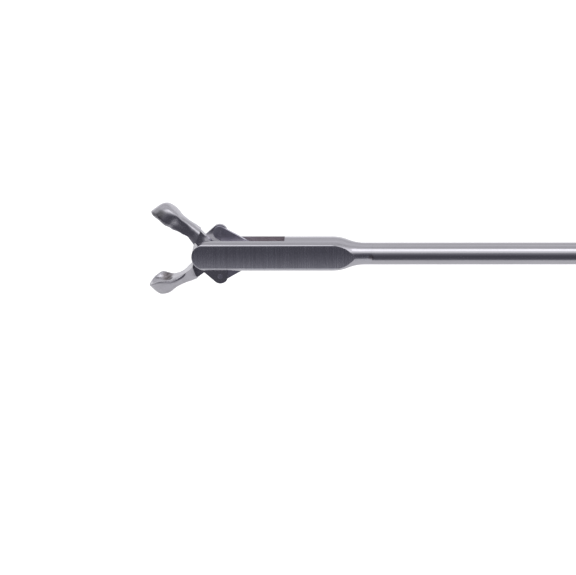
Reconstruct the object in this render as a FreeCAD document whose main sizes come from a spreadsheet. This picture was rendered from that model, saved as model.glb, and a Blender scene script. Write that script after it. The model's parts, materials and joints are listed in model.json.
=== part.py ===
import FreeCAD, Part
import math
import os
import re

import Sketcher

# Double-action cup forceps with a long round shaft and a ring handle, in millimetres.
# X runs along the shaft from the jaws (-X) to the handle (+X), and Z is up.
# The jaws, the links and the thumb lever turn about axes parallel to Y.
# The origin lies on the shaft axis, on the front face of the handle.

doc = FreeCAD.newDocument("forceps")
sheet = doc.addObject("Spreadsheet::Sheet", "Sizes")

# The driving dimensions, which go into the sheet.
sizes = {
    # Overall
    "working_length": 130.0,  # handle face to jaw tips
    "running_gap": 0.02,  # side clearance between the thin layers in the slot
    "pin_gap": 0.03,  # radial clearance of a turning pin
    # Shaft tube
    "tube_outer": 3.2,  # outer diameter
    "tube_bore": 2.2,  # inner diameter
    "tube_seat": 12.0,  # depth of the tube's seat in the handle
    # Slotted head
    "head_diameter": 5.0,  # round stock
    "flat_spacing": 3.5,  # across the two ground flats
    "head_edge": 0.3,  # rounding along the flats
    "nose_edge": 0.15,  # edge break round the nose
    "nose_radius": 2.0,  # round of the nose, seen from the side
    "nose_reach": 2.12,  # jaw pivot to the front of the nose
    "nose_turn": 62.0,  # angle of the round on each side of the axis
    "slot_width": 2.0,  # slot for the jaws and links
    "slot_length": 11.4,  # jaw pivot to the slot's square end
    "rod_bore": 1.85,  # guide bore behind the slot
    "head_length": 18.3,  # jaw pivot to the start of the neck
    "neck_length": 4.6,  # length of the ogee neck
    "neck_collar": 1.1,  # round part between neck and tube
    "spigot_length": 4.0,  # length inside the tube
    # Jaws
    "pivot_pin_diameter": 1.2,  # jaw pivot pin
    "jaw_turn": 34.5,  # angle that each jaw turns through
    "closed_tilt": 5.0,  # tilt of the closed jaws above the shaft axis
    "hub_radius": 2.1,  # hub in the slot
    "tang_radius": 3.75,  # jaw pivot to link rivet
    "tang_closed": 23.5,  # angle of the tang to the axis, jaws closed
    "boss_radius": 1.1,  # round end of a tang
    "cup_reach": 7.9,  # jaw pivot to the middle of the upper cup
    "cup_overbite": 0.5,  # how far the upper jaw reaches past the lower one
    "cup_radius": 2.3,  # outside of the cup at its rim
    "cavity_radius": 1.8,  # cup opening at the rim
    "cavity_depth": 1.05,  # depth of the cup
    "upper_nose_height": 2.35,  # rim to the upper jaw's back at its nose
    "lower_nose_height": 1.75,  # rim to the lower jaw's back at its nose
    "upper_rounding": 0.8,  # rounding of the upper jaw's back edge
    "lower_rounding": 0.9,  # rounding of the lower jaw's back edge
    "waist_reach": 4.2,  # jaw pivot to the arm's narrowest place
    "waist_half_width": 1.5,  # half the arm's width there
    "side_draft": 10.0,  # lean of the jaw's sides toward its back, in degrees
    "root_half_width": 1.6,  # half the arm's width at its root
    "heel_reach": 2.95,  # jaw pivot to the arm's heel
    "heel_height": 2.5,  # height of the heel above the rim
    "root_reach": 2.4,  # jaw pivot to the arm's root
    "root_rise": 0.35,  # height of the root above the rim
    "throat_reach": 7.6,  # jaw pivot to the start of the throat
    "throat_round": 6.4,  # radius of the hollow throat
    # Links and pull rod
    "link_length": 6.3,  # between the link's two holes
    "link_half_width": 0.95,  # half the width of a link
    "rivet_diameter": 0.7,  # rivet at the tang
    "open_pivot_gap": 0.2,  # radial clearance of the links on the fork pin
    "fork_diameter": 1.75,  # round fork in the guide bore
    "fork_pin_diameter": 0.6,  # pin through the fork
    "fork_length": 7.0,  # fork pin to the fork's rear end
    "fork_slit_depth": 1.3,  # fork pin to the bottom of the slit
    "rod_diameter": 1.5,  # pull rod
    "rod_thread_diameter": 1.1,  # threaded front end of the rod
    "rod_thread_length": 3.0,  # length of the thread in the fork
    "guide_length": 5.0,  # rod guide in the tube's rear end
    # Handle
    "body_thickness": 7.0,  # handle body across the cheeks
    "arm_thickness": 5.2,  # handle arms
    "barrel_radius": 4.5,  # round barrel that holds the tube
    "barrel_length": 14.8,  # front face to the lever slot
    "barrel_bevel": 1.2,  # bevel on the barrel's front
    "lever_slot": 3.4,  # slot for the lever between the cheeks
    "lever_thickness": 3.2,  # lever's tongue
    "lever_back": 20.5,  # lever pivot behind the handle face
    "lever_drop": 9.5,  # lever pivot below the shaft axis
    "lever_boss": 5.0,  # lever's boss radius
    "cheek_radius": 8.0,  # cheeks round the lever pivot
    "cheek_gap": 0.6,  # clearance between cheeks and the lever's thick arm
    "tongue_half_width": 3.3,  # half the tongue beside the ball's notch
    "tongue_above": 2.3,  # tongue above the shaft axis
    "ball_diameter": 3.0,  # ball on the pull rod
    "ball_gap": 0.05,  # clearance of the ball in the notch
    "screw_shank": 3.0,  # lever screw
    "screw_thread": 2.4,  # thread of the lever screw
    "screw_head": 5.6,  # head and nut diameter
    "screw_head_depth": 1.0,  # recess for the head and the nut
    "screw_slot": 0.8,  # driver slot
    "stop_pin_diameter": 2.0,  # stop pin across the slot
    "stop_gap": 0.1,  # lever to stop pin with the jaws closed
    "stop_along": 4.0,  # stop pin along the lever's arm
    "set_screw_diameter": 2.0,  # screw that holds the tube
    "set_screw_back": 7.0,  # set screw behind the handle face
    "ring_radius": 13.4,  # middle of the ring's section
    "ring_wire": 2.6,  # radius of the ring's round section
    "arm_root": 5.0,  # radius of an arm's root
    "arm_end": 3.4,  # radius of an arm's end at the ring
    "finger_back": -3.0,  # finger ring centre behind the handle face
    "finger_drop": 56.0,  # finger ring centre below the shaft axis
    "finger_root_back": 10.0,  # root of the fixed arm behind the face
    "finger_root_drop": 9.0,  # root of the fixed arm below the axis
    "thumb_back": 26.0,  # thumb ring centre behind the lever pivot, half closed
    "thumb_drop": 46.0,  # thumb ring centre below the lever pivot, half closed
    "collar_length": 6.0,  # clamping collar in front of the handle
    "collar_radius": 3.4,  # collar at the handle
    "collar_tip_radius": 2.2,  # collar at its front
}
for row, (alias, number) in enumerate(sizes.items(), 1):
    sheet.set("A%d" % row, alias)
    sheet.set("B%d" % row, str(number))
    sheet.setAlias("B%d" % row, alias)
doc.recompute()

# Derived values, written as formulas of the sheet's cells.
PIVOT_X = "(cup_reach + cup_radius - working_length)"
TANG_OPEN = "(tang_closed + jaw_turn)"
TANG_X = "(tang_radius * cos(%s))" % TANG_OPEN
TANG_Z = "(tang_radius * sin(%s))" % TANG_OPEN
LINK_ANGLE = "(asin(%s / link_length) / 1 deg)" % TANG_Z
ROD_OPEN = "(%s + sqrt(link_length^2 - %s^2))" % (TANG_X, TANG_Z)
CLOSED_X = "(tang_radius * cos(tang_closed))"
CLOSED_Z = "(tang_radius * sin(tang_closed))"
ROD_CLOSED = "(%s + sqrt(link_length^2 - %s^2))" % (CLOSED_X, CLOSED_Z)
ROD_TRAVEL = "(%s - %s)" % (ROD_CLOSED, ROD_OPEN)
# The rod is set back by half of what a straight travel misses in the middle.
HALF_X = "(tang_radius * cos(tang_closed + jaw_turn / 2))"
HALF_Z = "(tang_radius * sin(tang_closed + jaw_turn / 2))"
ROD_HALF = "(%s + sqrt(link_length^2 - %s^2))" % (HALF_X, HALF_Z)
ROD_SHIFT = "((%s - (%s + %s) / 2) / 2)" % (ROD_HALF, ROD_OPEN, ROD_CLOSED)
FORK_X = "(%s + %s + %s)" % (PIVOT_X, ROD_OPEN, ROD_SHIFT)
HEAD_END = "(head_length + neck_length + neck_collar)"
TUBE_START = "(%s + %s)" % (PIVOT_X, HEAD_END)
HUB_THICK = "(slot_width / 2 - 2 * running_gap)"
LAYER = "((%s - running_gap) / 2)" % HUB_THICK
LEVER_SWING = "(atan(%s / 2 / lever_drop) / 1 deg)" % ROD_TRAVEL
BALL_X = "(lever_back - %s / 2)" % ROD_TRAVEL


def bound(text):
    """A formula with each size's name pointing at its cell."""
    return re.sub(r"\b[a-z]+(?:_[a-z]+)+\b", r"Sizes.\g<0>", text)


def value(text):
    return float(sheet.evalExpression(bound(text)))


def bind(item, prop, text):
    item.setExpression(prop, bound(text))


def new_body(name):
    body = doc.addObject("PartDesign::Body", name)
    body.Label = name
    return body


def place(item, x="0", y="0", z="0", turn="0"):
    """Put a sub-part in the assembly, turned about the Y axis."""
    text = "placement(vector(%s; %s; %s); rotation(vector(0; 1; 0); %s))" % (x, y, z, turn)
    bind(item, "Placement", text)


def new_sketch(body, name, plane, x="0", y="0", z="0"):
    """A sketch on one of the body's own origin planes, moved in that plane's frame."""
    item = body.newObject("Sketcher::SketchObject", name)
    for feature in body.Origin.OriginFeatures:
        if feature.Role == plane + "_Plane":
            item.AttachmentSupport = [(feature, "")]
    item.MapMode = "FlatFace"
    for axis, text in (("x", x), ("y", y), ("z", z)):
        if text != "0":
            bind(item, "AttachmentOffset.Base." + axis, text)
    return item


def fix(sketch, kind, geometry, point, text):
    """A driving constraint that follows the sheet."""
    index = sketch.addConstraint(Sketcher.Constraint(kind, geometry, point, value(text)))
    bind(sketch, "Constraints[%d]" % index, text)


def outline(sketch, corners):
    """A closed outline. A corner is (x, y), or (x, y, radius, side) where the edge
    to the next corner is an arc with its centre on that side of the way there."""
    points = []
    for corner in corners:
        points.append(FreeCAD.Vector(value(corner[0]), value(corner[1]), 0))
    edges = []
    for index, corner in enumerate(corners):
        start = points[index]
        end = points[(index + 1) % len(points)]
        if len(corner) == 2:
            geometry = sketch.addGeometry(Part.LineSegment(start, end), False)
            edges.append((geometry, 1, 2))
            continue
        radius = value(corner[2])
        chord = end - start
        left = FreeCAD.Vector(-chord.y, chord.x, 0).normalize()
        if corner[3] == "right":
            left = left * -1
        height = math.sqrt(max(radius ** 2 - (chord.Length / 2) ** 2, 0))
        centre = (start + end) * 0.5 + left * height
        first, last = (start, end) if corner[3] == "left" else (end, start)
        begin = math.atan2(first.y - centre.y, first.x - centre.x)
        finish = math.atan2(last.y - centre.y, last.x - centre.x)
        if finish <= begin:
            finish += 2 * math.pi
        circle = Part.Circle(centre, FreeCAD.Vector(0, 0, 1), radius)
        geometry = sketch.addGeometry(Part.ArcOfCircle(circle, begin, finish), False)
        edges.append((geometry, 1, 2) if corner[3] == "left" else (geometry, 2, 1))
    for index, corner in enumerate(corners):
        geometry, begin, finish = edges[index]
        following = edges[(index + 1) % len(edges)]
        fix(sketch, "DistanceX", geometry, begin, corner[0])
        fix(sketch, "DistanceY", geometry, begin, corner[1])
        link = Sketcher.Constraint("Coincident", geometry, finish, following[0], following[1])
        sketch.addConstraint(link)
        if len(corner) == 4:
            number = sketch.addConstraint(Sketcher.Constraint("Radius", geometry, value(corner[2])))
            bind(sketch, "Constraints[%d]" % number, corner[2])


def circle(sketch, x, y, radius):
    centre = FreeCAD.Vector(value(x), value(y), 0)
    ring = Part.Circle(centre, FreeCAD.Vector(0, 0, 1), value(radius))
    geometry = sketch.addGeometry(ring, False)
    fix(sketch, "DistanceX", geometry, 3, x)
    fix(sketch, "DistanceY", geometry, 3, y)
    number = sketch.addConstraint(Sketcher.Constraint("Radius", geometry, value(radius)))
    bind(sketch, "Constraints[%d]" % number, radius)


def pad(body, name, sketch, length, middle=False, back=False):
    item = body.newObject("PartDesign::Pad", name)
    item.Profile = sketch
    bind(item, "Length", length)
    item.Midplane = middle
    item.Reversed = back
    sketch.Visibility = False
    return item


def cut_volume(body, item):
    """Recompute and make sure that a cut really took something away."""
    doc.recompute()
    if item.Shape.Volume >= item.BaseFeature.Shape.Volume - 1e-9:
        raise RuntimeError(body.Label + ": " + item.Name + " cuts nothing")


def pocket(body, name, sketch, length=None, back=False):
    """A cut to a length, or through all on both sides of its sketch."""
    item = body.newObject("PartDesign::Pocket", name)
    item.Profile = sketch
    if length is None:
        item.Type = "ThroughAll"
        item.Midplane = True
    else:
        bind(item, "Length", length)
        item.Reversed = back
    cut_volume(body, item)
    return item


def revolve(body, name, sketch, axis):
    item = body.newObject("PartDesign::Revolution", name)
    item.Profile = sketch
    item.ReferenceAxis = (sketch, [axis])
    item.Angle = 360
    doc.recompute()
    return item


def groove(body, name, sketch, axis):
    item = body.newObject("PartDesign::Groove", name)
    item.Profile = sketch
    item.ReferenceAxis = (sketch, [axis])
    item.Angle = 360
    cut_volume(body, item)
    return item


def fillet(body, name, radius, wanted):
    """Round the edges of the body's last feature that a rule picks."""
    doc.recompute()
    base = body.Tip
    names = []
    for index, edge in enumerate(base.Shape.Edges):
        if wanted(edge):
            names.append("Edge%d" % (index + 1))
    if not names:
        raise RuntimeError(body.Label + ": " + name + " finds no edge")
    item = body.newObject("PartDesign::Fillet", name)
    item.Base = (base, names)
    bind(item, "Radius", radius)
    doc.recompute()
    return item


def middle_of(edge):
    return edge.valueAt((edge.FirstParameter + edge.LastParameter) / 2)


# The slotted head, turned from round stock, with its origin at the jaw pivot.
head = new_body("clevis_head")
section = new_sketch(head, "head_section", "YZ", z="-head_diameter / 2")
FLAT_Y = "(flat_spacing / 2)"
EDGE_Y = "(%s - head_edge)" % FLAT_Y
# The rounded corner touches both the flat and the round of the stock.
CORNER_Z = "sqrt((head_diameter / 2 - head_edge)^2 - %s^2)" % EDGE_Y
TOUCH = "(head_diameter / 2) / (head_diameter / 2 - head_edge)"
TOUCH_Y = "(%s * %s)" % (EDGE_Y, TOUCH)
TOUCH_Z = "(%s * %s)" % (CORNER_Z, TOUCH)
outline(section, [
    (TOUCH_Y, TOUCH_Z, "head_diameter / 2", "left"),
    ("-" + TOUCH_Y, TOUCH_Z, "head_edge", "left"),
    ("-" + FLAT_Y, CORNER_Z),
    ("-" + FLAT_Y, "-" + CORNER_Z, "head_edge", "left"),
    ("-" + TOUCH_Y, "-" + TOUCH_Z, "head_diameter / 2", "left"),
    (TOUCH_Y, "-" + TOUCH_Z, "head_edge", "left"),
    (FLAT_Y, "-" + CORNER_Z),
    (FLAT_Y, CORNER_Z, "head_edge", "left"),
])
pad(head, "head_bar", section, "head_diameter / 2 + " + HEAD_END)
nose = new_sketch(head, "nose_outline", "XZ")
NOSE_X = "(nose_radius - nose_reach)"
TURN_X = "(%s - nose_radius * cos(nose_turn))" % NOSE_X
TURN_Z = "(nose_radius * sin(nose_turn))"
# From the round the outline runs on straight to the outside of the stock.
STOCK_X = "(%s + (head_diameter / 2 - %s) * tan(nose_turn))" % (TURN_X, TURN_Z)
outline(nose, [
    (STOCK_X, "head_diameter / 2"),
    (TURN_X, TURN_Z, "nose_radius", "left"),
    ("-nose_reach", "0", "nose_radius", "left"),
    (TURN_X, "-" + TURN_Z),
    (STOCK_X, "-head_diameter / 2"),
    (STOCK_X, "-head_diameter"),
    ("-head_diameter", "-head_diameter"),
    ("-head_diameter", "head_diameter"),
    (STOCK_X, "head_diameter"),
])
pocket(head, "nose_round", nose)


def on_nose(edge):
    point = middle_of(edge)
    return abs(abs(point.y) - value(FLAT_Y)) < 1e-4 and point.x < value(TURN_X) + 0.3


fillet(head, "nose_break", "nose_edge", on_nose)
neck = new_sketch(head, "neck_outline", "XZ")
NECK_DROP = "(head_diameter / 2 - tube_outer / 2)"
NECK_ROUND = "((neck_length^2 + %s^2) / (4 * %s))" % (NECK_DROP, NECK_DROP)
outline(neck, [
    ("head_length", "head_diameter / 2", NECK_ROUND, "right"),
    ("head_length + neck_length / 2", "head_diameter / 2 - %s / 2" % NECK_DROP, NECK_ROUND, "left"),
    ("head_length + neck_length", "tube_outer / 2"),
    (HEAD_END + " + 1", "tube_outer / 2"),
    (HEAD_END + " + 1", "head_diameter"),
    ("head_length", "head_diameter"),
])
groove(head, "neck_ogee", neck, "H_Axis")
slot = new_sketch(head, "slot_outline", "XY")
outline(slot, [
    ("-head_diameter", "-slot_width / 2"),
    ("slot_length", "-slot_width / 2"),
    ("slot_length", "slot_width / 2"),
    ("-head_diameter", "slot_width / 2"),
])
pocket(head, "jaw_slot", slot)
spigot = new_sketch(head, "spigot_circle", "YZ", z=HEAD_END)
circle(spigot, "0", "0", "tube_bore / 2")
pad(head, "tube_spigot", spigot, "spigot_length")
bore = new_sketch(head, "bore_circle", "YZ")
circle(bore, "0", "0", "rod_bore / 2")
pocket(head, "guide_bore", bore)
pin_hole = new_sketch(head, "pin_circle", "XZ")
circle(pin_hole, "0", "0", "pivot_pin_diameter / 2")
pocket(head, "pivot_hole", pin_hole)
place(head, PIVOT_X)

# The pivot pin is ground flush with both flats.
pivot_pin = new_body("jaw_pivot_pin")
pin_circle = new_sketch(pivot_pin, "pivot_pin_circle", "XZ")
circle(pin_circle, "0", "0", "pivot_pin_diameter / 2")
pad(pivot_pin, "pivot_pin_round", pin_circle, "flat_spacing", middle=True)
place(pivot_pin, PIVOT_X)


def jaw(name, tang_angle, turn, flip, reach, nose_height, rounding):
    """A cup jaw, drawn closed along -X with its back up and its hub in the near
    half of the slot. The lower jaw is drawn the same way and turned over about X."""
    body = new_body(name)
    side = new_sketch(body, name + "_side", "XZ")
    tip = "(%s + cup_radius)" % reach
    outline(side, [
        ("-root_reach", "0"),
        ("-heel_reach", "heel_height"),
        ("-" + tip, nose_height),
        ("-" + tip, "0"),
    ])
    pad(body, name + "_bar", side, "2 * cup_radius", middle=True)
    # Seen from its back the jaw is a spoon, whose arcs run into one another.
    plan = new_sketch(body, name + "_plan", "XY")
    apart = "(%s - waist_reach)" % reach
    bend = "((%s^2 + waist_half_width^2 - cup_radius^2) / (2 * (cup_radius - waist_half_width)))" % apart
    share = "(cup_radius / (cup_radius + %s))" % bend
    touch_x = "(-%s + %s * %s)" % (reach, apart, share)
    touch_y = "((waist_half_width + %s) * %s)" % (bend, share)
    flare = "(root_half_width - waist_half_width)"
    length = "(waist_reach - root_reach)"
    sweep = "((%s^2 + %s^2) / (2 * %s))" % (length, flare, flare)
    outline(plan, [
        ("-root_reach", "root_half_width", sweep, "right"),
        ("-waist_reach", "waist_half_width", bend, "right"),
        (touch_x, touch_y, "cup_radius", "left"),
        ("-" + tip, "0", "cup_radius", "left"),
        (touch_x, "-" + touch_y, bend, "right"),
        ("-waist_reach", "-waist_half_width", sweep, "right"),
        ("-root_reach", "-root_half_width"),
        ("-root_reach", "-2 * cup_radius"),
        ("-2 * cup_reach", "-2 * cup_radius"),
        ("-2 * cup_reach", "2 * cup_radius"),
        ("-root_reach", "2 * cup_radius"),
    ])
    cut = pocket(body, name + "_plan_cut", plan, "2 * heel_height", back=True)
    bind(cut, "TaperAngle", "side_draft")
    doc.recompute()

    def on_back(edge):
        box = edge.BoundBox
        lowest = min(value(nose_height), value("heel_height")) - 0.3
        return box.ZMin > lowest and box.XLength > 0.5

    fillet(body, name + "_back_round", rounding, on_back)
    throat = new_sketch(body, name + "_throat", "XZ")
    outline(throat, [
        ("-throat_reach", "0", "throat_round", "right"),
        ("-root_reach", "root_rise"),
        ("-root_reach + running_gap", "root_rise"),
        ("-root_reach + running_gap", "-cup_radius"),
        ("-throat_reach", "-cup_radius"),
    ])
    pocket(body, name + "_throat_cut", throat)
    hollow = new_sketch(body, name + "_hollow", "XZ", x="-" + reach)
    ball = "((cavity_radius^2 + cavity_depth^2) / (2 * cavity_depth))"
    outline(hollow, [
        ("0", "cavity_depth", ball, "left"),
        ("-cavity_radius", "0"),
        ("-cavity_radius", "-cavity_depth"),
        ("0", "-cavity_depth"),
    ])
    groove(body, name + "_cavity", hollow, "V_Axis")
    hub = new_sketch(body, name + "_hub", "XZ", z="running_gap")
    circle(hub, "0", "0", "hub_radius")
    pad(body, name + "_hub_disc", hub, HUB_THICK)
    web = new_sketch(body, name + "_web", "XZ", z="running_gap")
    outline(web, [
        ("0", "0"),
        ("0", "hub_radius"),
        ("-heel_reach", "heel_height"),
        ("-heel_reach - 0.3", "heel_height / 2"),
        ("-root_reach - 0.15", "root_rise + 0.25"),
    ])
    pad(body, name + "_web_plate", web, HUB_THICK)
    tang = new_sketch(body, name + "_tang", "XZ", z="running_gap + %s - %s" % (HUB_THICK, LAYER))
    spread = "(acos((hub_radius - boss_radius) / tang_radius) / 1 deg)"
    eye_x = "tang_radius * cos(%s)" % tang_angle
    eye_z = "tang_radius * sin(%s)" % tang_angle
    up = "(%s + %s)" % (tang_angle, spread)
    down = "(%s - %s)" % (tang_angle, spread)
    outline(tang, [
        ("hub_radius * cos(%s)" % down, "hub_radius * sin(%s)" % down),
        (eye_x + " + boss_radius * cos(%s)" % down,
         eye_z + " + boss_radius * sin(%s)" % down, "boss_radius", "left"),
        (eye_x + " + boss_radius * cos(%s)" % up,
         eye_z + " + boss_radius * sin(%s)" % up),
        ("hub_radius * cos(%s)" % up, "hub_radius * sin(%s)" % up),
    ])
    pad(body, name + "_tang_plate", tang, LAYER)
    holes = new_sketch(body, name + "_holes", "XZ")
    circle(holes, "0", "0", "pivot_pin_diameter / 2 + pin_gap")
    circle(holes, eye_x, eye_z, "rivet_diameter / 2")
    pocket(body, name + "_bores", holes)
    spin = "rotation(vector(0; 1; 0); %s)" % turn
    bind(body, "Placement", "placement(vector(%s; 0; 0); %s) * placement(vector(0; 0; 0); "
         "rotation(vector(1; 0; 0); %s))" % (PIVOT_X, spin, flip))
    return body


jaw("upper_jaw", "(closed_tilt - tang_closed)", "(jaw_turn + closed_tilt)", "0",
    "cup_reach", "upper_nose_height", "upper_rounding")
jaw("lower_jaw", "(-closed_tilt - tang_closed)", "(closed_tilt - jaw_turn)", "180",
    "(cup_reach - cup_overbite)", "lower_nose_height", "lower_rounding")


def link(name, side):
    """A flat toggle link, drawn from its rivet along +X. The hole on the fork pin
    is the mechanism's open pivot, so it has more room."""
    body = new_body(name)
    start = "running_gap" if side < 0 else "-running_gap - " + LAYER
    plate = new_sketch(body, name + "_outline", "XZ", z=start)
    outline(plate, [
        ("0", "link_half_width", "link_half_width", "left"),
        ("-link_half_width", "0", "link_half_width", "left"),
        ("0", "-link_half_width"),
        ("link_length", "-link_half_width", "link_half_width", "left"),
        ("link_length + link_half_width", "0", "link_half_width", "left"),
        ("link_length", "link_half_width"),
    ])
    pad(body, name + "_plate", plate, LAYER)
    holes = new_sketch(body, name + "_holes", "XZ")
    circle(holes, "0", "0", "rivet_diameter / 2 + pin_gap")
    circle(holes, "link_length", "0", "fork_pin_diameter / 2 + open_pivot_gap")
    pocket(body, name + "_bores", holes)
    tang_x = "%s + %s" % (PIVOT_X, TANG_X)
    if side < 0:
        place(body, tang_x, "0", "-" + TANG_Z, "-" + LINK_ANGLE)
    else:
        place(body, tang_x, "0", TANG_Z, LINK_ANGLE)
    rivet = new_body(name + "_pin")
    shank = new_sketch(rivet, name + "_pin_circle", "XZ",
                       z="running_gap" if side < 0 else "-running_gap - " + HUB_THICK)
    circle(shank, "0", "0", "rivet_diameter / 2")
    pad(rivet, name + "_pin_round", shank, HUB_THICK)
    place(rivet, tang_x, "0", "-" + TANG_Z if side < 0 else TANG_Z)
    return body


link("lower_link", -1)
link("upper_link", 1)

# The fork on the pull rod, with its origin at the fork pin.
fork = new_body("rod_fork")
fork_round = new_sketch(fork, "fork_circle", "YZ", z="-fork_diameter / 2")
circle(fork_round, "0", "0", "fork_diameter / 2")
pad(fork, "fork_bar", fork_round, "fork_diameter / 2 + fork_length")
fork_nose = new_sketch(fork, "fork_nose", "XZ")
outline(fork_nose, [
    ("0", "fork_diameter / 2", "fork_diameter / 2", "left"),
    ("-fork_diameter / 2", "0", "fork_diameter / 2", "left"),
    ("0", "-fork_diameter / 2"),
    ("0", "-fork_diameter"),
    ("-fork_diameter", "-fork_diameter"),
    ("-fork_diameter", "fork_diameter"),
    ("0", "fork_diameter"),
])
pocket(fork, "fork_nose_round", fork_nose)
slit = new_sketch(fork, "fork_slit", "XY")
SLIT_HALF = "(%s + 2 * running_gap)" % LAYER
outline(slit, [
    ("-fork_diameter", "-" + SLIT_HALF),
    ("fork_slit_depth", "-" + SLIT_HALF),
    ("fork_slit_depth", SLIT_HALF),
    ("-fork_diameter", SLIT_HALF),
])
pocket(fork, "fork_slit_cut", slit)
fork_hole = new_sketch(fork, "fork_hole", "XZ")
circle(fork_hole, "0", "0", "fork_pin_diameter / 2")
pocket(fork, "fork_pin_bore", fork_hole)
fork_thread = new_sketch(fork, "fork_thread", "YZ", z="fork_length - rod_thread_length")
circle(fork_thread, "0", "0", "rod_thread_diameter / 2")
pocket(fork, "fork_thread_bore", fork_thread, "rod_thread_length", back=True)
place(fork, FORK_X)

fork_pin = new_body("rod_fork_pin")
fork_pin_circle = new_sketch(fork_pin, "fork_pin_circle", "XZ")
circle(fork_pin_circle, "0", "0", "fork_pin_diameter / 2")
pad(fork_pin, "fork_pin_round", fork_pin_circle, "fork_diameter - 2 * running_gap", middle=True)
place(fork_pin, FORK_X)

# The pull rod, from its thread in the fork to the ball, drawn from the fork's rear end.
rod = new_body("pull_rod")
ROD_START = "(%s + fork_length)" % FORK_X
ROD_LENGTH = "(%s - %s)" % (BALL_X, ROD_START)
rod_profile = new_sketch(rod, "rod_profile", "XZ")
outline(rod_profile, [
    ("-rod_thread_length", "0"),
    ("-rod_thread_length", "rod_thread_diameter / 2"),
    ("0", "rod_thread_diameter / 2"),
    ("0", "rod_diameter / 2"),
    (ROD_LENGTH, "rod_diameter / 2"),
    (ROD_LENGTH, "0"),
])
revolve(rod, "rod_turned", rod_profile, "H_Axis")
place(rod, ROD_START)

# The ball is hollow in front, where it is brazed on the rod.
ball = new_body("rod_ball")
ball_profile = new_sketch(ball, "ball_profile", "XZ")
MOUTH = "sqrt(ball_diameter^2 / 4 - rod_diameter^2 / 4)"
outline(ball_profile, [
    ("0", "0"),
    ("0", "rod_diameter / 2"),
    ("-" + MOUTH, "rod_diameter / 2", "ball_diameter / 2", "right"),
    ("ball_diameter / 2", "0"),
])
revolve(ball, "ball_turned", ball_profile, "H_Axis")
place(ball, BALL_X)

# The shaft tube and the guide in its rear end.
tube = new_body("shaft_tube")
tube_rings = new_sketch(tube, "tube_rings", "YZ")
circle(tube_rings, "0", "0", "tube_outer / 2")
circle(tube_rings, "0", "0", "tube_bore / 2")
pad(tube, "tube_length", tube_rings, "tube_seat - " + TUBE_START)
place(tube, TUBE_START)

guide = new_body("rod_guide")
guide_rings = new_sketch(guide, "guide_rings", "YZ")
circle(guide_rings, "0", "0", "tube_bore / 2")
circle(guide_rings, "0", "0", "rod_diameter / 2 + pin_gap")
pad(guide, "guide_round", guide_rings, "guide_length")
place(guide, "tube_seat - guide_length")

# The clamping collar in front of the handle.
collar = new_body("shaft_collar")
collar_profile = new_sketch(collar, "collar_profile", "XZ")
outline(collar_profile, [
    ("-collar_length", "tube_outer / 2"),
    ("-collar_length", "collar_tip_radius"),
    ("-collar_length / 2", "collar_radius"),
    ("0", "collar_radius"),
    ("0", "tube_outer / 2"),
])
revolve(collar, "collar_turned", collar_profile, "H_Axis")
place(collar)


def hull(sketch, x, z, first, far_x, far_z, last):
    """A tapered arm: the outline round two circles and their outer tangents."""
    length = "sqrt((%s - (%s))^2 + (%s - (%s))^2)" % (far_x, x, far_z, z)
    lean = "(atan2(%s - (%s); %s - (%s)) / 1 deg)" % (far_z, z, far_x, x)
    spread = "(acos((%s - %s) / %s) / 1 deg)" % (first, last, length)
    up = "(%s + %s)" % (lean, spread)
    down = "(%s - %s)" % (lean, spread)
    outline(sketch, [
        ("%s + %s * cos(%s)" % (x, first, up), "%s + %s * sin(%s)" % (z, first, up), first, "left"),
        ("%s - %s * cos(%s)" % (x, first, lean), "%s - %s * sin(%s)" % (z, first, lean), first, "left"),
        ("%s + %s * cos(%s)" % (x, first, down), "%s + %s * sin(%s)" % (z, first, down)),
        ("%s + %s * cos(%s)" % (far_x, last, down), "%s + %s * sin(%s)" % (far_z, last, down),
         last, "left"),
        ("%s + %s * cos(%s)" % (far_x, last, lean), "%s + %s * sin(%s)" % (far_z, last, lean),
         last, "left"),
        ("%s + %s * cos(%s)" % (far_x, last, up), "%s + %s * sin(%s)" % (far_z, last, up)),
    ])


def ring(body, name, x, z):
    """A finger ring with an eight-sided section, whose edges are broken wide."""
    wire = new_sketch(body, name + "_section", "XY", x=x, z=z)
    flat = "(ring_wire * tan(22.5))"
    corners = [("", "", "ring_wire", flat), ("", "", flat, "ring_wire"),
               ("-", "", flat, "ring_wire"), ("-", "", "ring_wire", flat),
               ("-", "-", "ring_wire", flat), ("-", "-", flat, "ring_wire"),
               ("", "-", flat, "ring_wire"), ("", "-", "ring_wire", flat)]
    outline(wire, [("ring_radius + %s%s" % (right, across), up + along)
                   for right, up, across, along in corners])
    revolve(body, name, wire, "V_Axis")


# The fixed half of the handle.
fixed = new_body("handle_body")
barrel = new_sketch(fixed, "barrel_profile", "XZ")
outline(barrel, [
    ("0", "0"),
    ("0", "barrel_radius - barrel_bevel"),
    ("barrel_bevel", "barrel_radius"),
    ("barrel_length", "barrel_radius"),
    ("barrel_length", "0"),
])
revolve(fixed, "barrel", barrel, "H_Axis")
cheeks = new_sketch(fixed, "cheeks_outline", "XZ")
CHEEK_TOP = "(barrel_radius - 0.6)"
outline(cheeks, [
    ("barrel_radius", CHEEK_TOP),
    ("barrel_radius", "-barrel_radius / 2"),
    ("finger_root_back - arm_root", "-finger_root_drop"),
    ("finger_root_back - arm_root / 2", "-lever_drop - cheek_radius"),
    ("lever_back", "-lever_drop - cheek_radius", "cheek_radius", "left"),
    ("lever_back + cheek_radius", "-lever_drop"),
    ("lever_back + cheek_radius", "-cheek_radius / 4"),
    ("lever_back + cheek_radius / 2", CHEEK_TOP),
])
pad(fixed, "cheeks", cheeks, "body_thickness", middle=True)
fixed_arm = new_sketch(fixed, "fixed_arm_outline", "XZ")
hull(fixed_arm, "finger_root_back", "-finger_root_drop", "arm_root",
     "finger_back", "(ring_radius - finger_drop)", "arm_end")
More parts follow.
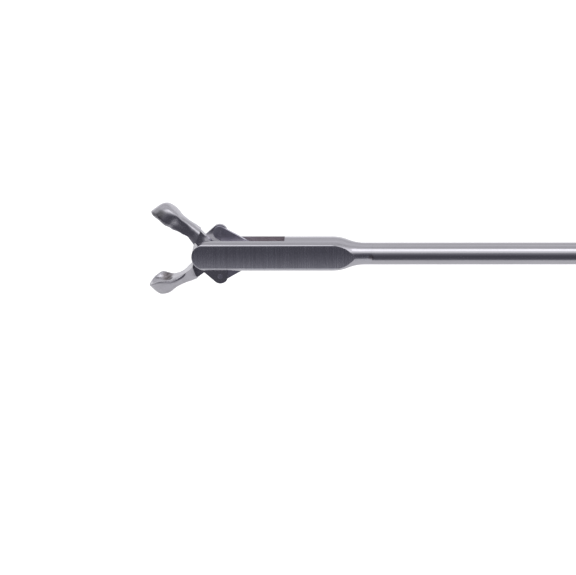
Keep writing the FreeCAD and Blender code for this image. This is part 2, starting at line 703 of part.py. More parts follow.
pad(fixed, "fixed_arm", fixed_arm, "arm_thickness", middle=True)
ring(fixed, "finger_ring", "finger_back", "-finger_drop")
finger_hole = new_sketch(fixed, "finger_hole", "XZ")
circle(finger_hole, "finger_back", "-finger_drop", "ring_radius - ring_wire")
pocket(fixed, "finger_hole_cut", finger_hole)
lever_slot = new_sketch(fixed, "lever_slot_outline", "XY")
outline(lever_slot, [
    ("barrel_length", "-lever_slot / 2"),
    ("lever_back + 2 * cheek_radius", "-lever_slot / 2"),
    ("lever_back + 2 * cheek_radius", "lever_slot / 2"),
    ("barrel_length", "lever_slot / 2"),
])
pocket(fixed, "lever_slot_cut", lever_slot)
seat = new_sketch(fixed, "seat_circle", "YZ")
circle(seat, "0", "0", "tube_outer / 2")
pocket(fixed, "tube_seat_bore", seat, "tube_seat", back=True)
rod_way = new_sketch(fixed, "rod_way_circle", "YZ")
circle(rod_way, "0", "0", "rod_bore / 2")
pocket(fixed, "rod_way_bore", rod_way)
screw_way = new_sketch(fixed, "screw_way", "XZ")
circle(screw_way, "lever_back", "-lever_drop", "screw_shank / 2")
pocket(fixed, "screw_way_bore", screw_way)
for number, sign in (("near", ""), ("far", "-")):
    recess = new_sketch(fixed, number + "_recess", "XZ", z="%s(body_thickness / 2)" % sign)
    circle(recess, "lever_back", "-lever_drop", "screw_head / 2")
    pocket(fixed, number + "_recess_cut", recess, "screw_head_depth", back=(sign == "-"))
# The stop pin stands against the lever's front edge with the jaws closed.
LEAN = "(atan2(-thumb_drop; thumb_back) / 1 deg)"
REACH = "(sqrt(thumb_back^2 + thumb_drop^2) - ring_radius)"
TAPER = "(asin((lever_boss - arm_end) / %s) / 1 deg)" % REACH
STOP_LEAN = "(%s - %s + %s)" % (LEAN, LEVER_SWING, TAPER)
STOP_OUT = "(lever_boss + stop_pin_diameter / 2 + stop_gap)"
STOP_X = "(lever_back + stop_along * cos(%s) + %s * sin(%s))" % (STOP_LEAN, STOP_OUT, STOP_LEAN)
STOP_Z = "(-lever_drop + stop_along * sin(%s) - %s * cos(%s))" % (STOP_LEAN, STOP_OUT, STOP_LEAN)
stop_way = new_sketch(fixed, "stop_way", "XZ")
circle(stop_way, STOP_X, STOP_Z, "stop_pin_diameter / 2")
pocket(fixed, "stop_way_bore", stop_way)
set_way = new_sketch(fixed, "set_way", "XY")
circle(set_way, "set_screw_back", "0", "set_screw_diameter / 2")
pocket(fixed, "set_way_bore", set_way, "2 * barrel_radius", back=True)
place(fixed)

stop_pin = new_body("stop_pin")
stop_circle = new_sketch(stop_pin, "stop_circle", "XZ")
circle(stop_circle, "0", "0", "stop_pin_diameter / 2")
pad(stop_pin, "stop_round", stop_circle, "body_thickness", middle=True)
place(stop_pin, STOP_X, "0", STOP_Z)

set_screw = new_body("tube_set_screw")
set_circle = new_sketch(set_screw, "set_circle", "XY")
circle(set_circle, "0", "0", "set_screw_diameter / 2")
pad(set_screw, "set_round", set_circle, "barrel_radius - tube_outer / 2 - 0.3")
set_slot = new_sketch(set_screw, "set_slot", "YZ", y="barrel_radius - tube_outer / 2 - 0.3")
outline(set_slot, [
    ("-screw_slot / 4", "-screw_slot"),
    ("screw_slot / 4", "-screw_slot"),
    ("screw_slot / 4", "screw_slot"),
    ("-screw_slot / 4", "screw_slot"),
])
pocket(set_screw, "set_slot_cut", set_slot)
place(set_screw, "set_screw_back", "0", "tube_outer / 2")

# The lever screw lies along Y and is drawn along +Z from its middle.
screw = new_body("lever_screw")
screw_profile = new_sketch(screw, "screw_profile", "XZ")
outline(screw_profile, [
    ("0", "-body_thickness / 2"),
    ("screw_thread / 2", "-body_thickness / 2"),
    ("screw_thread / 2", "-body_thickness / 2 + screw_head_depth"),
    ("screw_shank / 2", "-body_thickness / 2 + screw_head_depth"),
    ("screw_shank / 2", "body_thickness / 2 - screw_head_depth"),
    ("screw_head / 2", "body_thickness / 2 - screw_head_depth"),
    ("screw_head / 2", "body_thickness / 2"),
    ("0", "body_thickness / 2"),
])
revolve(screw, "screw_turned", screw_profile, "V_Axis")
screw_slot = new_sketch(screw, "screw_slot_outline", "YZ", y="body_thickness / 2")
outline(screw_slot, [
    ("-screw_slot / 2", "-screw_slot"),
    ("screw_slot / 2", "-screw_slot"),
    ("screw_slot / 2", "screw_slot"),
    ("-screw_slot / 2", "screw_slot"),
])
pocket(screw, "screw_slot_cut", screw_slot)
bind(screw, "Placement", "placement(vector(lever_back; 0; -lever_drop); "
     "rotation(vector(1; 0; 0); 90))")

nut = new_body("lever_screw_nut")
nut_profile = new_sketch(nut, "nut_rings", "XY")
circle(nut_profile, "0", "0", "screw_head / 2")
circle(nut_profile, "0", "0", "screw_thread / 2")
pad(nut, "nut_round", nut_profile, "screw_head_depth")
bind(nut, "Placement", "placement(vector(lever_back; body_thickness / 2; -lever_drop); "
     "rotation(vector(1; 0; 0); 90))")

# The moving half of the handle, drawn half closed with its origin at its pivot.
lever = new_body("thumb_lever")
tongue = new_sketch(lever, "tongue_outline", "XZ")
TONGUE_TOP = "(lever_drop + tongue_above)"
outline(tongue, [
    ("lever_boss", "0", "lever_boss", "right"),
    ("0", "-lever_boss", "lever_boss", "right"),
    ("-lever_boss", "0"),
    ("-tongue_half_width", "lever_drop / 2"),
    ("-tongue_half_width", TONGUE_TOP),
    ("tongue_half_width", TONGUE_TOP),
    ("tongue_half_width", "lever_drop / 2"),
])
pad(lever, "tongue", tongue, "lever_thickness", middle=True)
arm = new_sketch(lever, "lever_arm_outline", "XZ")
SHARE = "(1 - ring_radius / sqrt(thumb_back^2 + thumb_drop^2))"
hull(arm, "0", "0", "lever_boss", "(thumb_back * %s)" % SHARE, "(-thumb_drop * %s)" % SHARE, "arm_end")
pad(lever, "lever_arm", arm, "arm_thickness", middle=True)
ring(lever, "thumb_ring", "thumb_back", "-thumb_drop")
thumb_hole = new_sketch(lever, "thumb_hole", "XZ")
circle(thumb_hole, "thumb_back", "-thumb_drop", "ring_radius - ring_wire")
pocket(lever, "thumb_hole_cut", thumb_hole)
for number, sign in (("near", ""), ("far", "-")):
    step = new_sketch(lever, number + "_step", "XZ", z="%s(arm_thickness / 2)" % sign)
    circle(step, "0", "0", "cheek_radius + cheek_gap")
    pocket(lever, number + "_step_cut", step, "(arm_thickness - lever_thickness) / 2",
           back=(sign == "-"))
notch = new_sketch(lever, "notch_outline", "XZ")
NOTCH_HALF = "(ball_diameter / 2 + ball_gap)"
NOTCH_LOW = "(lever_drop - 4 * ball_gap)"
outline(notch, [
    (NOTCH_HALF, NOTCH_LOW),
    (NOTCH_HALF, TONGUE_TOP + " + 1"),
    ("-" + NOTCH_HALF, TONGUE_TOP + " + 1"),
    ("-" + NOTCH_HALF, NOTCH_LOW, NOTCH_HALF, "left"),
    ("0", NOTCH_LOW + " - " + NOTCH_HALF, NOTCH_HALF, "left"),
])
pocket(lever, "ball_notch", notch)
rod_slit = new_sketch(lever, "rod_slit_outline", "YZ")
SLIT = "(rod_diameter / 2 + 0.1)"
outline(rod_slit, [
    (SLIT, "lever_drop - 2 * " + SLIT),
    (SLIT, TONGUE_TOP + " + 1"),
    ("-" + SLIT, TONGUE_TOP + " + 1"),
    ("-" + SLIT, "lever_drop - 2 * " + SLIT),
])
pocket(lever, "rod_slit", rod_slit, "2 * tongue_half_width")
pivot_way = new_sketch(lever, "pivot_way", "XZ")
circle(pivot_way, "0", "0", "screw_shank / 2 + pin_gap")
pocket(lever, "pivot_way_bore", pivot_way)
place(lever, "lever_back", "0", "-lever_drop", "-" + LEVER_SWING)

doc.recompute()
subparts = [item for item in doc.Objects if item.TypeId == "PartDesign::Body"]
for item in doc.Objects:
    if "Invalid" in item.State or "Error" in item.State:
        raise RuntimeError("%s did not compute: %s" % (item.Name, item.State))
for item in subparts:
    if item.Shape.isNull() or not item.Shape.isValid() or item.Shape.Volume <= 0:
        raise RuntimeError("%s has no valid shape" % item.Label)

os.makedirs("parts", exist_ok=True)
for item in subparts:
    item.Shape.exportStep("parts/%s.step" % item.Label)
    print("%-16s solids %d  volume %9.2f" % (item.Label, len(item.Shape.Solids), item.Shape.Volume))

print("pivot x %.4f  rod travel %.4f  lever turn %.4f" % (
    value(PIVOT_X), value(ROD_TRAVEL), 2 * value(LEVER_SWING)))
print("tang %.4f %.4f  fork x %.4f  link angle %.4f" % (
    value(TANG_X), value(TANG_Z), value(FORK_X), value(LINK_ANGLE)))
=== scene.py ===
import json
import math

import bmesh
import bpy
import numpy as np
from mathutils import Matrix, Vector


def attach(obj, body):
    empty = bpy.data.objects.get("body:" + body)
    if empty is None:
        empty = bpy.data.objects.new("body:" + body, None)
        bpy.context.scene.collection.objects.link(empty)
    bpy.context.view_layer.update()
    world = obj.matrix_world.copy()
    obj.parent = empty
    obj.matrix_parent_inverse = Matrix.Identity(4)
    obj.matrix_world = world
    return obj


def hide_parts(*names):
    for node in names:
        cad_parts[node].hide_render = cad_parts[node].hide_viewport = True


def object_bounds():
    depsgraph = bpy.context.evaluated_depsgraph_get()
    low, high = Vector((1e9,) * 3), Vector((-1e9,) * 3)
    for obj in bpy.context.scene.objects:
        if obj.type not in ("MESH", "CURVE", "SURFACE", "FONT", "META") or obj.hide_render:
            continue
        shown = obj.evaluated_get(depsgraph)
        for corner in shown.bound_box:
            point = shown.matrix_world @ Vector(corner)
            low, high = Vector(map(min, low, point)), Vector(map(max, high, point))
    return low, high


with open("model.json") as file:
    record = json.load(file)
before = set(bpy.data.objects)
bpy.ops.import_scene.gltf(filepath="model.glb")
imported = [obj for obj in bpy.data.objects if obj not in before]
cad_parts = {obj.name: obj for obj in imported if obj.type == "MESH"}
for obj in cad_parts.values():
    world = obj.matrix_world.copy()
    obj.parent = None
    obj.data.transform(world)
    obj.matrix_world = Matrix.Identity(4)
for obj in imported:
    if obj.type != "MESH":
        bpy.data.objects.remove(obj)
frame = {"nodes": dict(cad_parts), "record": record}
cad_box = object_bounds()
nodes = frame["nodes"]
scene = bpy.context.scene

# The jaws' pivot, in metres.
JOINTS = {joint["name"]: joint for joint in frame["record"]["behaviour"]["joints"]}
JAW_PIVOT = Vector(JOINTS["upper_jaw_close"]["pos_m"])

# Each jaw, open as at rest. The lifts and the fill are in millimetres, the cup in metres.
JAWS = {
    "upper_jaw": {
        "opening": 39.5,  # degrees from the shaft axis
        "side": 1,  # above the axis
        "cup": (-0.0051, 0.0, 0.0051),  # from the pivot to the middle of the painted shade in the hollow
        "crown_way": (0.64, 0.0, 0.77),  # from the rim to the back
        "rim_crown": 0.40,  # how far the arm's sides lean that way next to the rim
        "back_crown": -0.25,  # the same next to the back, and on the whole nose
        "rim_lift": 0.30,  # bow of the rim, toward the back
        "back_lift": 0.22,  # bow of the back, outward
        "fill": 0.35,  # how far the rim at the throat is moved away from the back
    },
    "lower_jaw": {
        "opening": 29.5,
        "side": -1,
        "cup": (-0.0060, 0.0009, -0.0035),
        "crown_way": (0.49, 0.0, -0.87),
        "rim_crown": 0.42,
        "back_crown": 0.42,
        "rim_lift": -0.30,
        "back_lift": 0.25,
        "fill": 0.0,
    },
}

# The polished spoons. Lengths are in millimetres.
CUT_REACH = 3.4  # from the pivot to the plane between hub and spoon
VOXEL = 0.06  # fineness of the spoon's mesh
POLISH_STEPS = 420
RIM_GAP = 0.03  # how far a spoon stands back from the plane in which the rims meet
NOSE_TAPER = 0.10  # share by which the nose's tip is narrowed
KEPT_SHARE = 0.35  # share of the spoon's triangles that is kept
SHARP_ANGLE = math.radians(32)

# The dark mark of the brazed joint, on the near side of the neck.
BRAZE = (JAW_PIVOT.x + 0.0239, -0.0016, 0.0)


class Nodes:
    """The node tree of a material or world, built by short calls that return an output."""

    def __init__(self, owner):
        self.owner = owner
        owner.use_nodes = True
        self.tree = owner.node_tree
        self.tree.nodes.clear()

    def add(self, kind, inputs=None, **settings):
        node = self.tree.nodes.new(kind)
        for key, setting in settings.items():
            setattr(node, key, setting)
        for key, given in (inputs or {}).items():
            if isinstance(given, bpy.types.NodeSocket):
                self.tree.links.new(given, node.inputs[key])
            else:
                node.inputs[key].default_value = given
        return node

    def at(self):
        """The object's own coordinates, in metres."""
        return self.add("ShaderNodeTexCoord").outputs["Object"]

    def place(self, scale=(1, 1, 1), turn=(0, 0, 0)):
        """The same, stretched for a pattern."""
        given = {"Vector": self.at(), "Scale": scale, "Rotation": turn}
        return self.add("ShaderNodeMapping", given).outputs[0]

    def noise(self, at, scale, detail=3.0, roughness=0.5):
        given = {"Vector": at, "Scale": scale, "Detail": detail, "Roughness": roughness}
        return self.add("ShaderNodeTexNoise", given).outputs[0]

    def spread(self, given, low, high, to_low=0.0, to_high=1.0, smooth=False):
        """A value's place between two limits, as a place between two others."""
        limits = {"Value": given, "From Min": low, "From Max": high, "To Min": to_low, "To Max": to_high}
        kind = "SMOOTHSTEP" if smooth else "LINEAR"
        return self.add("ShaderNodeMapRange", limits, interpolation_type=kind).outputs[0]

    def math(self, kind, first, second=0.0):
        return self.add("ShaderNodeMath", {0: first, 1: second}, operation=kind).outputs[0]

    def vector(self, kind, first, second=(0, 0, 0)):
        made = self.add("ShaderNodeVectorMath", {0: first, 1: second}, operation=kind)
        plain_number = kind in ("LENGTH", "DISTANCE", "DOT_PRODUCT")
        return made.outputs["Value" if plain_number else "Vector"]

    def part(self, given, axis):
        return self.add("ShaderNodeSeparateXYZ", {0: given}).outputs[axis]

    def near(self, centre, inner, outer):
        """One round a point, falling to nothing at the outer radius."""
        return self.spread(self.vector("DISTANCE", self.at(), centre), outer, inner, smooth=True)

    def mix(self, share, first, second):
        made = self.add("ShaderNodeMix", {"Factor": share}, data_type="RGBA")
        for socket, given in ((made.inputs[6], first), (made.inputs[7], second)):
            if isinstance(given, bpy.types.NodeSocket):
                self.tree.links.new(given, socket)
            else:
                socket.default_value = (*given, 1.0)
        return made.outputs[2]

    def soft_edge(self, radius):
        """The surface's direction, with its edges broken by a small radius."""
        return self.add("ShaderNodeBevel", {"Radius": radius}, samples=6).outputs[0]

    def side_face(self, normal):
        """One on the faces that look along Y, nothing elsewhere."""
        return self.spread(self.math("ABSOLUTE", self.part(normal, "Y")), 0.90, 0.985, smooth=True)

    def lean(self, normal, way, amount):
        """Crown a face: its direction leans a given way, stated in the object's frame."""
        turned = self.add("ShaderNodeVectorTransform", {"Vector": way}, vector_type="VECTOR",
                          convert_from="OBJECT", convert_to="WORLD").outputs[0]
        given = {0: turned, "Scale": amount}
        scaled = self.add("ShaderNodeVectorMath", given, operation="SCALE").outputs[0]
        return self.vector("NORMALIZE", self.vector("ADD", normal, scaled))

    def plate_lean(self, normal, top, amount):
        """The plates above the head are ground slightly hollow just over it."""
        height = self.part(self.at(), "Z")
        above = self.spread(height, 0.0, 0.0012)
        low_part = self.math("MULTIPLY", self.spread(height, top, top - 0.0009), above)
        behind = self.spread(self.part(self.at(), "X"), JAW_PIVOT.x - 0.0008, JAW_PIVOT.x)
        share = self.math("MULTIPLY", low_part, behind)
        return self.lean(normal, (0, 0, 1), self.math("MULTIPLY", share, amount))

    def bump(self, height, strength, distance, below):
        inputs = {"Height": height, "Strength": strength, "Distance": distance, "Normal": below}
        return self.add("ShaderNodeBump", inputs).outputs[0]

    def metal(self, colour, roughness, normal):
        """The finished material."""
        inputs = {"Base Color": colour, "Metallic": 1.0, "Roughness": roughness, "Normal": normal}
        shader = self.add("ShaderNodeBsdfPrincipled", inputs)
        self.add("ShaderNodeOutputMaterial", {"Surface": shader.outputs[0]})
        return self.owner


def new_material(name):
    return Nodes(bpy.data.materials.new(name))


def ground_steel():
    """The head: fine lines ground across the flats, which are slightly crowned."""
    n = new_material("ground_steel")
    plain = n.add("ShaderNodeNewGeometry").outputs["Normal"]
    side = n.side_face(plain)
    at = n.at()
    lines = n.noise(n.place((14000, 300, 160)), 1.0, 2.0, 0.6)
    broad = n.noise(n.place((500, 500, 200)), 1.0, 2.0)
    along = n.noise(n.place((60, 7000, 7000)), 1.0, 2.0, 0.6)
    bare = n.mix(n.spread(along, 0.3, 0.7), (0.46, 0.45, 0.49), (0.53, 0.52, 0.56))
    flat = n.mix(n.spread(lines, 0.3, 0.7), (0.45, 0.445, 0.49), (0.56, 0.555, 0.61))
    flat = n.mix(n.spread(broad, 0.35, 0.65, 0.0, 0.25), flat, (0.42, 0.415, 0.46))
    colour = n.mix(side, bare, flat)
    # The slot's walls are left as the cutter made them.
    depth = n.math("ABSOLUTE", n.part(at, "Y"))
    round_x = n.vector("LENGTH", n.vector("MULTIPLY", at, (0, 1, 1)))
    inside = n.math("MULTIPLY", n.spread(depth, 0.00104, 0.00101), n.spread(round_x, 0.00246, 0.00243))
    inside = n.math("MULTIPLY", inside, n.math("LESS_THAN", n.part(at, "X"), JAW_PIVOT.x + 0.0115))
    colour = n.mix(inside, colour, (0.64, 0.58, 0.62))
    braze = n.near(BRAZE, 0.0002, 0.0005)
    colour = n.mix(n.math("MULTIPLY", braze, 0.5), colour, (0.20, 0.15, 0.15))
    rough = n.add("ShaderNodeMix", {"Factor": side, "A": n.spread(along, 0.3, 0.7, 0.13, 0.19),
                                    "B": n.spread(lines, 0.3, 0.7, 0.20, 0.28)}).outputs[0]
    rough = n.math("MAXIMUM", rough, n.math("MULTIPLY", inside, 0.5))
    # The crown is felt only on the lower part of a flat.
    low_part = n.spread(n.part(at, "Z"), 0.0009, -0.00165)
    crown = n.math("MULTIPLY", n.math("POWER", low_part, 0.5), 0.25)
    way = n.lean(plain, (0, 0, -1), n.math("MULTIPLY", crown, side))
    return n.metal(colour, rough, n.bump(lines, 0.10, 0.00001, way))


def drawn_steel():
    """The shaft tube: satin, with faint lines along it."""
    n = new_material("drawn_steel")
    lines = n.noise(n.place((40, 7000, 7000)), 1.0, 2.0, 0.6)
    blotch = n.noise(n.place((220, 220, 220)), 1.0, 3.0)
    colour = n.mix(n.spread(lines, 0.3, 0.7), (0.46, 0.45, 0.485), (0.53, 0.52, 0.555))
    colour = n.mix(n.spread(blotch, 0.4, 0.7, 0.0, 0.2), colour, (0.43, 0.42, 0.45))
    braze = n.near(BRAZE, 0.0002, 0.0005)
    colour = n.mix(n.math("MULTIPLY", braze, 0.6), colour, (0.16, 0.12, 0.12))
    rough = n.spread(lines, 0.3, 0.7, 0.13, 0.20)
    return n.metal(colour, rough, n.bump(lines, 0.05, 0.00001, n.soft_edge(0.00008)))


def jaw_steel(name):
    """A jaw: a satin spoon with polished corners and painted shade in its hollow, and a ground
    hub and tang with sharp ones."""
    jaw = JAWS[name]
    way = jaw["crown_way"]
    n = new_material(name + "_steel")
    reach_x = n.part(n.at(), "X")
    tang = n.spread(reach_x, JAW_PIVOT.x - 0.0044, JAW_PIVOT.x - 0.0034)
    edge = n.soft_edge(n.spread(tang, 0.0, 1.0, 0.0006, 0.00002))
    grain = n.noise(n.at(), 9000.0, 2.0, 0.6)
    broad = n.noise(n.at(), 900.0, 3.0)
    colour = n.mix(n.spread(grain, 0.35, 0.65), (0.45, 0.44, 0.48), (0.53, 0.52, 0.56))
    colour = n.mix(n.spread(broad, 0.4, 0.7, 0.0, 0.3), colour, (0.40, 0.39, 0.42))
    # Painted shade: the cup's hollow is darkened in patches round its middle, where it lies in shade; it
    # is also rougher there.
    patch = n.spread(n.noise(n.at(), 2200.0, 3.0), 0.3, 0.6, 0.6, 1.0)
    hollow_shade = n.math("MULTIPLY", n.near(JAW_PIVOT + Vector(jaw["cup"]), 0.0006, 0.0012), patch)
    colour = n.mix(hollow_shade, colour, (0.16, 0.14, 0.145))
    rough = n.math("ADD", n.spread(broad, 0.35, 0.65, 0.18, 0.26), n.math("MULTIPLY", hollow_shade, 0.2))
    side = n.spread(n.math("ABSOLUTE", n.part(edge, "Y")), 0.35, 0.80, smooth=True)
    away = n.spread(reach_x, JAW_PIVOT.x - 0.0014, JAW_PIVOT.x - 0.0026)
    # The sides are crowned. How far they lean can differ between rim and back.
    apart = n.vector("SUBTRACT", n.at(), JAW_PIVOT)
    height = n.vector("DOT_PRODUCT", apart, way)
    at_rim = n.spread(n.vector("LENGTH", apart), 0.0068, 0.0080, jaw["rim_crown"], jaw["back_crown"])
    amount = n.spread(height, 0.0004, 0.0015, at_rim, jaw["back_crown"], smooth=True)
    normal = n.lean(edge, way, n.math("MULTIPLY", n.math("MULTIPLY", side, away), amount))
    normal = n.plate_lean(normal, 0.0036, 0.42)
    return n.metal(colour, rough, n.bump(grain, 0.10, 0.00001, normal))


def link_steel():
    """The toggle links and their rivets: ground faces and finely broken edges."""
    n = new_material("link_steel")
    lines = n.noise(n.place((5000, 500, 1200), (0, 0.6, 0)), 1.0, 2.0, 0.6)
    broad = n.noise(n.at(), 1300.0, 3.0)
    colour = n.mix(n.spread(lines, 0.3, 0.7), (0.50, 0.49, 0.57), (0.62, 0.61, 0.70))
    colour = n.mix(n.spread(broad, 0.42, 0.7, 0.0, 0.4), colour, (0.44, 0.42, 0.48))
    rough = n.spread(broad, 0.35, 0.65, 0.28, 0.38)
    normal = n.plate_lean(n.soft_edge(0.00002), 0.0028, 0.30)
    return n.metal(colour, rough, n.bump(lines, 0.08, 0.00001, normal))


def handle_steel():
    """The handle: a satin finish with a very fine grain and rounded edges."""
    n = new_material("handle_steel")
    grain = n.noise(n.at(), 5200.0, 2.0, 0.6)
    broad = n.noise(n.at(), 120.0, 3.0)
    colour = n.mix(n.spread(grain, 0.35, 0.65), (0.47, 0.465, 0.49), (0.54, 0.535, 0.56))
    colour = n.mix(n.spread(broad, 0.4, 0.7, 0.0, 0.3), colour, (0.42, 0.415, 0.44))
    rough = n.spread(broad, 0.35, 0.65, 0.26, 0.34)
    return n.metal(colour, rough, n.bump(grain, 0.15, 0.00002, n.soft_edge(0.0007)))


def bright_steel():
    """Pins, screws, ball and rod: turned and polished."""
    n = new_material("bright_steel")
    rings = n.noise(n.at(), 2600.0, 2.0, 0.6)
    colour = n.mix(n.spread(rings, 0.35, 0.65), (0.55, 0.55, 0.57), (0.62, 0.62, 0.64))
    rough = n.spread(rings, 0.35, 0.65, 0.14, 0.20)
    return n.metal(colour, rough, n.bump(rings, 0.06, 0.00001, n.soft_edge(0.00012)))


def jaw_ways(name):
    """A jaw's directions at rest: along its reach, and from its rim to its back."""
    opening, side = math.radians(JAWS[name]["opening"]), JAWS[name]["side"]
    along = Vector((-math.cos(opening), 0.0, side * math.sin(opening)))
    up = Vector((math.sin(opening), 0.0, side * math.cos(opening)))
    return along, up


def evaluated(mesh, kind, **settings):
    """A mesh after one modifier."""
    holder = bpy.data.objects.new("holder", mesh)
    scene.collection.objects.link(holder)
    modifier = holder.modifiers.new("one", kind)
    for key, setting in settings.items():
        setattr(modifier, key, setting)
    made = bpy.data.meshes.new_from_object(holder.evaluated_get(bpy.context.evaluated_depsgraph_get()))
    bpy.data.objects.remove(holder)
    return made


def ramp_up(values, start, end):
    """Nothing below the start, one above the end, smooth between them."""
    share = np.clip((values - start) / (end - start), 0, 1)
    return share * share * (3 - 2 * share)


def polish(mesh, name):
    """Round the spoon's back and nose, and bow its rim a little between nose and throat."""
    jaw = JAWS[name]
    along, up = (np.array(way) for way in jaw_ways(name))
    count = len(mesh.vertices)
    points = np.empty(count * 3)
    mesh.vertices.foreach_get("co", points)
    points = points.reshape(count, 3)
    pairs = np.empty(len(mesh.edges) * 2, dtype=np.int64)
    mesh.edges.foreach_get("vertices", pairs)
    first, second = pairs.reshape(-1, 2).T
    neighbours = np.bincount(first, minlength=count) + np.bincount(second, minlength=count)
    neighbours = np.maximum(neighbours, 1)
    reach = points @ along
    weight = ramp_up(reach, 3.6, 5.0) * ramp_up(points @ up, 0.15, 1.25)
    for _ in range(POLISH_STEPS):
        mean = np.empty_like(points)
        for axis in range(3):
            column = points[:, axis]
            total = np.bincount(first, column[second], count) + np.bincount(second, column[first], count)
            mean[:, axis] = total / neighbours
        points += (mean - points) * (0.5 * weight)[:, None]
    height = points @ up
    back = ramp_up(height, 0.5, 1.5)
    bow = ramp_up(reach, 6.0, 7.6) * (1 - ramp_up(reach, 8.6, 10.2))
    throat = ramp_up(reach, 3.7, 4.8) * (1 - ramp_up(reach, 6.0, 7.6))
    lift = jaw["rim_lift"] * (1 - back) + jaw["back_lift"] * back
    fill = jaw["fill"] * throat * (1 - ramp_up(height, 1.0, 2.2))
    move = RIM_GAP * ramp_up(reach, 3.5, 4.0) + bow * lift - fill
    points += move[:, None] * up
    # The nose is a little narrower than the cup.
    points[:, 1] *= 1 - NOSE_TAPER * ramp_up(reach, 7.2, 10.2)
    mesh.vertices.foreach_set("co", points.reshape(-1))
    mesh.update()


def add_half(mesh, made, place, normal):
    """Add to a bmesh the part of a mesh that lies behind a plane, with its cut closed."""
    piece = bmesh.new()
    piece.from_mesh(mesh)
    bmesh.ops.remove_doubles(piece, verts=piece.verts, dist=0.0005)
    everything = piece.verts[:] + piece.edges[:] + piece.faces[:]
    cut = bmesh.ops.bisect_plane(piece, geom=everything, dist=0.0001, plane_co=place, plane_no=normal,
                                 clear_outer=True)
    rim = [item for item in cut["geom_cut"] if isinstance(item, bmesh.types.BMEdge)]
    bmesh.ops.triangle_fill(piece, edges=rim, use_beauty=True)
    bmesh.ops.recalc_face_normals(piece, faces=piece.faces)
    part = bpy.data.meshes.new("part")
    piece.to_mesh(part)
    piece.free()
    made.from_mesh(part)


def dressed_jaw(name):
    """A jaw whose spoon is polished round, while its hub and tang stay as ground."""
    along = jaw_ways(name)[0]
    solid = nodes[name].data.copy()
    normals = solid.attributes.get("custom_normal")
    if normals:
        solid.attributes.remove(normals)
    # The mesh is worked in millimetres from the pivot.
    solid.transform(Matrix.Scale(1000, 4) @ Matrix.Translation(-JAW_PIVOT))
    spoon = evaluated(solid, "REMESH", mode="VOXEL", voxel_size=VOXEL)
    polish(spoon, name)
    spoon = evaluated(spoon, "DECIMATE", ratio=KEPT_SHARE)
    made = bmesh.new()
    add_half(spoon, made, along * CUT_REACH, -along)
    add_half(solid, made, along * CUT_REACH, along)
    mesh = bpy.data.meshes.new(name + "_dressed")
    made.to_mesh(mesh)
    made.free()
    mesh.transform(Matrix.Translation(JAW_PIVOT) @ Matrix.Scale(0.001, 4))
    for face in mesh.polygons:
        face.use_smooth = True
    mesh.set_sharp_from_angle(angle=SHARP_ANGLE)
    mesh.materials.clear()
    mesh.materials.append(OWN[name])
    piece = bpy.data.objects.new(name + "_dressed", mesh)
    scene.collection.objects.link(piece)
    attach(piece, name)
    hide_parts(name)


MADE = {
    "head_steel": ground_steel(),
    "tube_steel": drawn_steel(),
    "link_steel": link_steel(),
    "handle_steel": handle_steel(),
    "bright_steel": bright_steel(),
}
# Each jaw has its own steel, and three pins look like the pieces round them.
OWN = {
    "upper_jaw": jaw_steel("upper_jaw"),
    "lower_jaw": jaw_steel("lower_jaw"),
    "jaw_pivot_pin": MADE["head_steel"],
    "upper_link_pin": MADE["link_steel"],
    "lower_link_pin": MADE["link_steel"],
}
for entry in frame["record"]["subparts"]:
    mesh = nodes[entry["node"]].data
    mesh.materials.clear()
    mesh.materials.append(OWN.get(entry["node"]) or MADE[entry["material_slot"]])
for name in JAWS:
    dressed_jaw(name)


def pale_floor():
    """A floor under and behind the object, clear of the thumb ring's swing."""
    height = Vector(cad_box[0]).z - 0.0024
    bpy.ops.mesh.primitive_plane_add(size=1.0, location=(-0.03, 0.30, height))
    floor = bpy.context.active_object
    floor.name = "floor"
    floor.scale = (1.4, 0.70, 1.0)
    n = new_material("stage_white")
    shade = n.add("ShaderNodeBsdfDiffuse", {"Color": (0.9, 0.9, 0.9, 1.0)}).outputs[0]
    glow = n.add("ShaderNodeEmission", {"Color": (1, 1, 1, 1), "Strength": 0.45}).outputs[0]
    both = n.add("ShaderNodeAddShader", {0: shade, 1: glow}).outputs[0]
    seen = n.add("ShaderNodeLightPath").outputs["Is Camera Ray"]
    mixed = n.add("ShaderNodeMixShader", {0: seen, 1: shade, 2: both}).outputs[0]
    n.add("ShaderNodeOutputMaterial", {"Surface": mixed})
    floor.data.materials.append(n.owner)


# The studio's brightness by the angle about X, in degrees: 0 in front, 90 above.
STUDIO = (
    (-180, 1.00), (-100, 0.95), (-80, 0.90), (-68, 0.60), (-55, 0.36), (-42, 0.14), (-30, 0.105),
    (-6, 0.105), (4, 0.16), (13, 0.26), (23, 0.42), (30, 0.90), (38, 1.25), (58, 1.30), (64, 1.15),
    (74, 0.80), (90, 0.60), (98, 0.80), (112, 0.86), (130, 0.74), (142, 0.70), (160, 1.00), (180, 1.00),
)


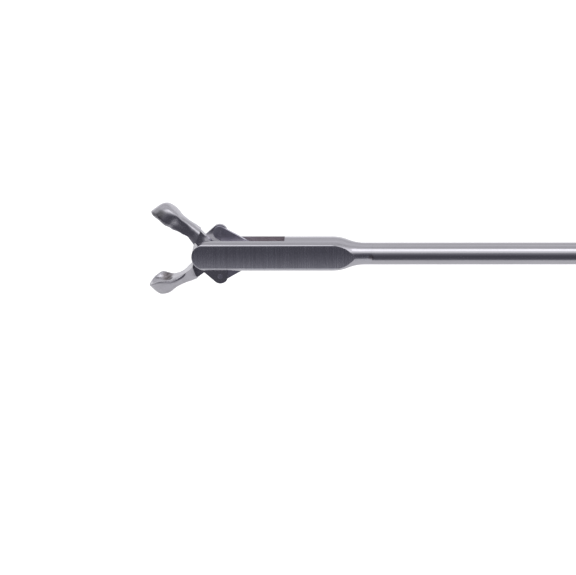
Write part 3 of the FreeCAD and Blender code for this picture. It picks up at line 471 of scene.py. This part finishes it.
def studio():
    """A world that is white to the camera and a soft studio to the metal: dark in front,
    a bright strip above that, pale elsewhere, and a dark screen at the left."""
    n = Nodes(bpy.data.worlds.new("studio"))
    scene.world = n.owner
    way = n.add("ShaderNodeTexCoord").outputs["Generated"]
    along, across, height = (n.part(way, axis) for axis in "XYZ")
    angle = n.math("ARCTAN2", height, n.math("MULTIPLY", across, -1.0))
    ramp = n.add("ShaderNodeValToRGB", {"Fac": n.spread(angle, -math.pi, math.pi)})
    points = ramp.color_ramp.elements
    while len(points) < len(STUDIO):
        points.new(0.5)
    for point, (degrees, level) in zip(points, STUDIO):
        point.position = (degrees + 180) / 360
        # The dark parts are a little blue.
        dusk = max(0.0, 1.0 - level / 0.5)
        point.color = (level, level * (1.0 - 0.02 * dusk), level * (1.02 + 0.21 * dusk), 1.0)
    # The screen stands level with the object.
    screen = n.math("MULTIPLY", n.spread(height, -0.30, -0.12, 0.0, 0.85), n.spread(height, 0.60, 0.40))
    screen = n.math("MULTIPLY", screen, n.spread(along, -0.60, -0.85))
    strength = n.math("SUBTRACT", 1.0, screen)
    seen = n.add("ShaderNodeLightPath").outputs["Is Camera Ray"]
    soft = n.add("ShaderNodeBackground", {"Color": ramp.outputs[0], "Strength": strength}).outputs[0]
    plain = n.add("ShaderNodeBackground", {"Color": (1, 1, 1, 1), "Strength": 1.0}).outputs[0]
    mixed = n.add("ShaderNodeMixShader", {0: seen, 1: soft, 2: plain}).outputs[0]
    n.add("ShaderNodeOutputWorld", {"Surface": mixed})


def strip_light():
    """One long lamp above the front."""
    place, aim = Vector((-0.06, -0.46, 0.70)), Vector((-0.06, 0.0, 0.0))
    lamp = bpy.data.lights.new("strip_light", "AREA")
    lamp.shape = "RECTANGLE"
    lamp.size = 0.9
    lamp.size_y = 0.25
    lamp.energy = 0.6
    made = bpy.data.objects.new("strip_light", lamp)
    scene.collection.objects.link(made)
    made.location = place
    made.rotation_euler = (aim - place).to_track_quat("-Z", "Y").to_euler()


# The view: from the front and above, with the jaws' pivot left of the middle and above it.
AZIMUTH = math.radians(3.0)
ELEVATION = math.radians(21.0)
LENS = 200.0
SENSOR = 36.0
METRES_PER_PIXEL = 0.145 / 1000
PICTURE_WIDTH = 576
PICTURE_MIDDLE = (288.0, 287.5)
PIVOT_PIXEL = (206.5, 253.6)


def front_camera():
    """The camera, turned a little about its own axis so that the shaft lies level in the picture."""
    back_off = Vector((
        math.sin(AZIMUTH) * math.cos(ELEVATION),
        -math.cos(AZIMUTH) * math.cos(ELEVATION),
        math.sin(ELEVATION),
    ))
    right = Vector((math.cos(AZIMUTH), math.sin(AZIMUTH), 0.0))
    shaft = Vector((1, 0, 0))
    roll = math.atan2(-shaft.dot(back_off.cross(right)), shaft.dot(right))
    level_right = right * math.cos(roll) - back_off.cross(right) * math.sin(roll)
    level_up = back_off.cross(level_right)
    target = JAW_PIVOT + level_right * (PICTURE_MIDDLE[0] - PIVOT_PIXEL[0]) * METRES_PER_PIXEL
    target -= level_up * (PICTURE_MIDDLE[1] - PIVOT_PIXEL[1]) * METRES_PER_PIXEL
    data = bpy.data.cameras.new("camera")
    data.lens = LENS
    data.sensor_width = SENSOR
    data.clip_start = 0.01
    data.clip_end = 20.0
    camera = bpy.data.objects.new("camera", data)
    scene.collection.objects.link(camera)
    turn = Matrix((level_right, level_up, back_off)).transposed().to_4x4()
    distance = PICTURE_WIDTH * METRES_PER_PIXEL * LENS / SENSOR
    camera.matrix_world = Matrix.Translation(target + back_off * distance) @ turn
    scene.camera = camera


pale_floor()
studio()
strip_light()
front_camera()
scene.view_settings.view_transform = "Standard"
